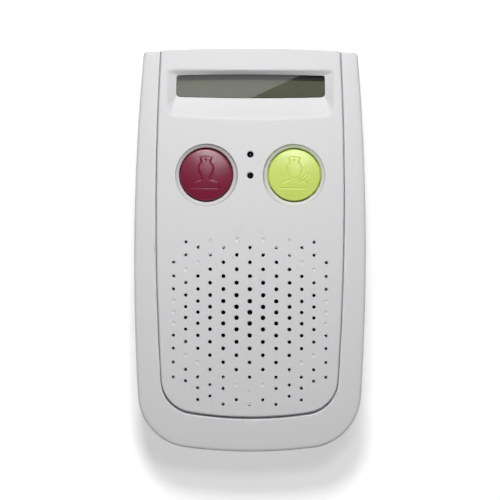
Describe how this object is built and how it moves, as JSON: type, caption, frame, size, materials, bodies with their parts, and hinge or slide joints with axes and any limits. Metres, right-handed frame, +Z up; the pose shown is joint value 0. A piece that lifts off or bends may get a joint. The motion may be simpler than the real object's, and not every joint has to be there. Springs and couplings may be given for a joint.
{
  "type": "nurse call button",
  "caption": "Wall-mounted nurse call and speech unit with call and answer buttons, a display window, a loudspeaker behind a graded grille, and a plate that fixes to a wall box.",
  "frame": {"origin": "middle of the two wall box fixings, on the plate's face against the wall", "axes": "+X to the viewer's right, +Y into the wall, +Z up; the front faces -Y"},
  "size_m": [0.0956, 0.031, 0.1659],
  "materials": {
    "case_plastic": "pale grey-white moulded plastic with a fine satin grain",
    "burgundy_plastic": "burgundy moulded plastic, satin gloss",
    "lime_plastic": "lime moulded plastic, satin gloss",
    "lens": "clear polished plastic",
    "lcd": "unlit grey-green liquid crystal glass",
    "white_plastic": "milky white diffuser",
    "black_plastic": "black moulded plastic",
    "black_rubber": "black rubber",
    "silicone": "translucent white silicone",
    "foam": "dark closed-cell foam",
    "cloth": "dark woven acoustic cloth",
    "paper": "pressed black paper",
    "circuit_board": "green solder resist on glass-fibre board",
    "terminal_plastic": "green moulded plastic",
    "steel": "bright zinc-plated steel",
    "magnet": "dark sintered ferrite between steel plates",
    "aluminium": "drawn aluminium can",
    "copper": "enamelled copper wire",
    "brass": "turned brass"
  },
  "bodies": {
    "unit": {"wall_plate": "case_plastic", "thread_insert": "brass", "terminal_block": "terminal_plastic", "terminal_screws": "steel", "link_socket": "black_plastic", "link_header": "black_plastic", "housing": "case_plastic", "security_screw": "steel", "fascia": "case_plastic", "fascia_screws": "steel", "display_lens": "lens", "lcd_bezel": "black_plastic", "lcd_glass": "lcd", "backlight": "white_plastic", "main_board": "circuit_board", "board_screws": "steel", "processor_chip": "black_plastic", "amplifier_chip": "black_plastic", "capacitors": "aluminium", "call_switch": "steel", "call_boot": "silicone", "answer_switch": "steel", "answer_boot": "silicone", "microphone": "aluminium", "mic_boot": "black_rubber", "ir_receiver": "black_plastic", "grille_cloth": "cloth", "speaker_gasket": "foam", "speaker_frame": "steel", "speaker_magnet": "magnet", "speaker_spider": "cloth", "speaker_surround": "black_rubber", "speaker_clips": "steel", "clip_screws": "steel"},
    "call_key": {"call_button": "burgundy_plastic", "call_plunger": "black_plastic"},
    "answer_key": {"answer_button": "lime_plastic", "answer_plunger": "black_plastic"},
    "cone": {"speaker_cone": "paper", "voice_coil": "copper"}
  },
  "joints": [
    {"name": "call_press", "type": "slide", "parent": "unit", "child": "call_key", "axis": [0, 1, 0], "range_m": [0, 0.001], "stiffness_N_per_m": 1800, "springref_m": -0.0004, "deforming": ["call_boot"]},
    {"name": "answer_press", "type": "slide", "parent": "unit", "child": "answer_key", "axis": [0, 1, 0], "range_m": [0, 0.001], "stiffness_N_per_m": 1800, "springref_m": -0.0004, "deforming": ["answer_boot"]},
    {"name": "cone_stroke", "type": "slide", "parent": "unit", "child": "cone", "axis": [0, -1, 0], "range_m": [-0.0006, 0.0006], "stiffness_N_per_m": 1500, "deforming": ["speaker_spider", "speaker_surround"]}
  ]
}
